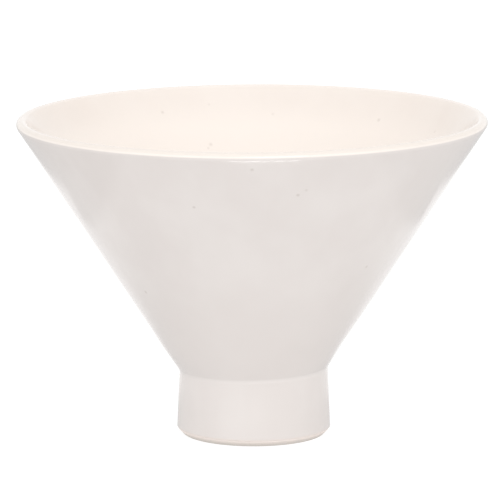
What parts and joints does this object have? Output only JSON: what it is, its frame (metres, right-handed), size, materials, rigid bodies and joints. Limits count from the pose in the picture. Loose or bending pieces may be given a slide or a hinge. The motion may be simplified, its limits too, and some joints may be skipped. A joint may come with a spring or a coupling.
{
  "type": "pour over dripper",
  "caption": "Ceramic pour over coffee dripper: a wide glazed cone with a round lip, luted to a short flared collar with an open drip hole.",
  "frame": {"origin": "centre of the foot ring, on the plane that the foot stands on", "axes": "+Z along the axis of the cone, up from the foot to the open rim; round about Z, so +X and +Y are free"},
  "size_m": [0.14, 0.14, 0.096],
  "materials": {
    "fired_clay": "bare fired stoneware, warm cream, matt, fine grained",
    "fired_slip": "bare fired slip, warm cream, matt",
    "inside_glaze": "glossy warm cream white glaze with a few pinholes",
    "outside_glaze": "glossy cool white glaze with a few pinholes"
  },
  "bodies": {
    "root": {"filter_cone": "fired_clay", "collar": "fired_clay", "slip_joint": "fired_slip", "joint_coil": "fired_clay", "inside_glaze": "inside_glaze", "outside_glaze": "outside_glaze", "underside_glaze": "outside_glaze"}
  },
  "joints": []
}
